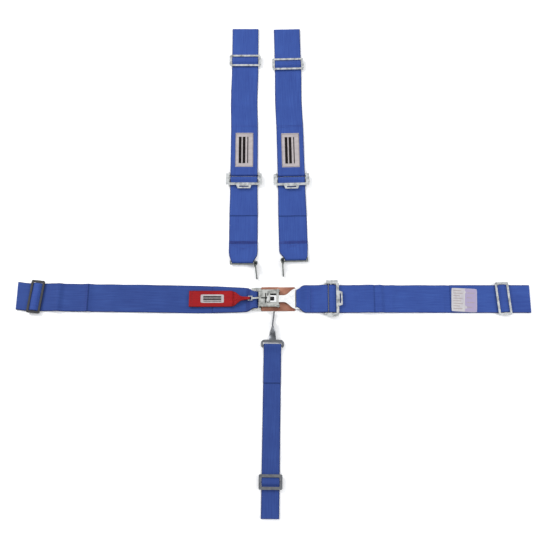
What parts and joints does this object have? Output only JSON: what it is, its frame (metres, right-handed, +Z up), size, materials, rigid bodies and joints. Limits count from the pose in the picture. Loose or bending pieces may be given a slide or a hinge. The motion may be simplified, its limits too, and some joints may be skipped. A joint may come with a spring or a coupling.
{
  "type": "racing harness",
  "caption": "Latch-and-link racing harness laid flat: blue shoulder, lap and crotch belts, bright adjusters and slides, leather latch pad, red pull strap.",
  "frame": {"origin": "bottom centre of the bounding box of the harness laid flat", "axes": "+X along the lap belt, from the latch half to the link half; +Y towards the shoulder belt anchors; +Z up from the surface"},
  "size_m": [1.3742, 1.3778, 0.0203],
  "materials": {
    "webbing_blue": "woven, matt",
    "webbing_red": "woven, matt",
    "bright_plating": "bright plated",
    "black_coating": "semi-gloss black",
    "grey_steel": "dull grey",
    "dark_steel": "dark, oiled",
    "leather_tan": "smooth tan",
    "label_grey": "printed satin",
    "label_white": "printed satin"
  },
  "bodies": {
    "lap_belt_latch_half": {"left_lap_strap": "webbing_blue", "latch_base": "bright_plating", "latch_lever_pin": "bright_plating", "latch_spring": "dark_steel", "leather_pad": "leather_tan"},
    "latch_lever_assembly": {"latch_lever": "bright_plating", "latch_hook": "dark_steel"},
    "pull_strap": {"red_pull_strap": "webbing_red", "red_pull_strap_label": "label_grey"},
    "left_lap_slider": {"left_lap_slide": "black_coating", "left_lap_slide_webbing": "webbing_blue"},
    "lap_belt_link_half": {"link_plate": "bright_plating", "right_lap_link_strap": "webbing_blue", "right_lap_anchor_strap": "webbing_blue", "right_lap_label": "label_white", "right_lap_adjusting_tail": "webbing_blue"},
    "right_lap_adjuster": {"right_lap_adjuster_frame": "bright_plating", "right_lap_adjuster_lock_bar": "bright_plating", "right_lap_adjuster_webbing_roll": "webbing_blue"},
    "right_lap_slider": {"right_lap_slide": "bright_plating", "right_lap_slide_webbing": "webbing_blue"},
    "crotch_belt": {"crotch_strap": "webbing_blue"},
    "crotch_belt_tongue": {"crotch_tongue": "grey_steel"},
    "crotch_slider": {"crotch_slide": "grey_steel", "crotch_slide_webbing": "webbing_blue"},
    "left_shoulder_belt": {"left_shoulder_upper_strap": "webbing_blue", "left_shoulder_lower_strap": "webbing_blue", "left_shoulder_label": "label_grey", "left_shoulder_adjusting_tail": "webbing_blue"},
    "left_shoulder_adjuster": {"left_shoulder_adjuster_frame": "bright_plating", "left_shoulder_adjuster_lock_bar": "bright_plating", "left_shoulder_adjuster_webbing_roll": "webbing_blue"},
    "left_shoulder_slider": {"left_shoulder_slide": "bright_plating", "left_shoulder_slide_webbing": "webbing_blue"},
    "left_shoulder_belt_tongue": {"left_shoulder_tongue": "bright_plating"},
    "right_shoulder_belt": {"right_shoulder_upper_strap": "webbing_blue", "right_shoulder_lower_strap": "webbing_blue", "right_shoulder_label": "label_grey", "right_shoulder_adjusting_tail": "webbing_blue"},
    "right_shoulder_adjuster": {"right_shoulder_adjuster_frame": "bright_plating", "right_shoulder_adjuster_lock_bar": "bright_plating", "right_shoulder_adjuster_webbing_roll": "webbing_blue"},
    "right_shoulder_slider": {"right_shoulder_slide": "bright_plating", "right_shoulder_slide_webbing": "webbing_blue"},
    "right_shoulder_belt_tongue": {"right_shoulder_tongue": "bright_plating"}
  },
  "joints": [
    {"name": "latch_lever_hinge", "type": "hinge", "parent": "lap_belt_latch_half", "child": "latch_lever_assembly", "pos_m": [0.01244, -0.12481, 0.0135], "axis": [0, 1, 0], "range_deg": [0, 75]},
    {"name": "pull_strap_hinge", "type": "hinge", "parent": "latch_lever_assembly", "child": "pull_strap", "pos_m": [-0.06631, -0.12481, 0.01375], "axis": [0, 1, 0], "range_deg": [0, 90]},
    {"name": "left_lap_slider_travel", "type": "slide", "parent": "lap_belt_latch_half", "child": "left_lap_slider", "axis": [-0.9999, 0.0145, 0], "range_m": [-0.1, 0.012]},
    {"name": "link_swivel", "type": "hinge", "parent": "lap_belt_latch_half", "child": "lap_belt_link_half", "pos_m": [-0.00306, -0.12481, 0.0082], "axis": [0, 0, 1], "range_deg": [-4, 4]},
    {"name": "right_lap_adjuster_tilt", "type": "hinge", "parent": "lap_belt_link_half", "child": "right_lap_adjuster", "pos_m": [0.14104, -0.12412, 0.0056], "axis": [0, -1, 0], "range_deg": [0, 20]},
    {"name": "right_lap_slider_travel", "type": "slide", "parent": "lap_belt_link_half", "child": "right_lap_slider", "axis": [1, 0, 0], "range_m": [-0.04, 0.035]},
    {"name": "crotch_belt_lift", "type": "slide", "parent": "lap_belt_latch_half", "child": "crotch_belt", "axis": [0, 0, 1], "range_m": [0, 0.2]},
    {"name": "crotch_tongue_swing", "type": "hinge", "parent": "crotch_belt", "child": "crotch_belt_tongue", "pos_m": [-0.00216, -0.25161, 0.006], "axis": [0.9999, -0.0133, 0], "range_deg": [0, 60]},
    {"name": "crotch_slider_travel", "type": "slide", "parent": "crotch_belt", "child": "crotch_slider", "axis": [-0.0133, -0.9999, 0], "range_m": [-0.08, 0.05]},
    {"name": "left_shoulder_belt_lift", "type": "slide", "parent": "lap_belt_latch_half", "child": "left_shoulder_belt", "axis": [0, 0, 1], "range_m": [0, 0.2]},
    {"name": "left_shoulder_adjuster_tilt", "type": "hinge", "parent": "left_shoulder_belt", "child": "left_shoulder_adjuster", "pos_m": [-0.08176, 0.23189, 0.0056], "axis": [-1, 0, 0], "range_deg": [0, 20]},
    {"name": "left_shoulder_slider_travel", "type": "slide", "parent": "left_shoulder_belt", "child": "left_shoulder_slider", "axis": [0, -1, 0], "range_m": [-0.06, 0.06]},
    {"name": "left_shoulder_tongue_swing", "type": "hinge", "parent": "left_shoulder_belt", "child": "left_shoulder_belt_tongue", "pos_m": [-0.08176, -0.02051, 0.0062], "axis": [-1, 0, 0], "range_deg": [0, 60]},
    {"name": "right_shoulder_belt_lift", "type": "slide", "parent": "lap_belt_latch_half", "child": "right_shoulder_belt", "axis": [0, 0, 1], "range_m": [0, 0.2]},
    {"name": "right_shoulder_adjuster_tilt", "type": "hinge", "parent": "right_shoulder_belt", "child": "right_shoulder_adjuster", "pos_m": [0.04976, 0.23089, 0.0056], "axis": [-0.9997, -0.0236, 0], "range_deg": [0, 20]},
    {"name": "right_shoulder_slider_travel", "type": "slide", "parent": "right_shoulder_belt", "child": "right_shoulder_slider", "axis": [0.0236, -0.9997, 0], "range_m": [-0.06, 0.06]},
    {"name": "right_shoulder_tongue_swing", "type": "hinge", "parent": "right_shoulder_belt", "child": "right_shoulder_belt_tongue", "pos_m": [0.0555, -0.01255, 0.0062], "axis": [-0.9997, -0.0236, 0], "range_deg": [0, 60]}
  ]
}
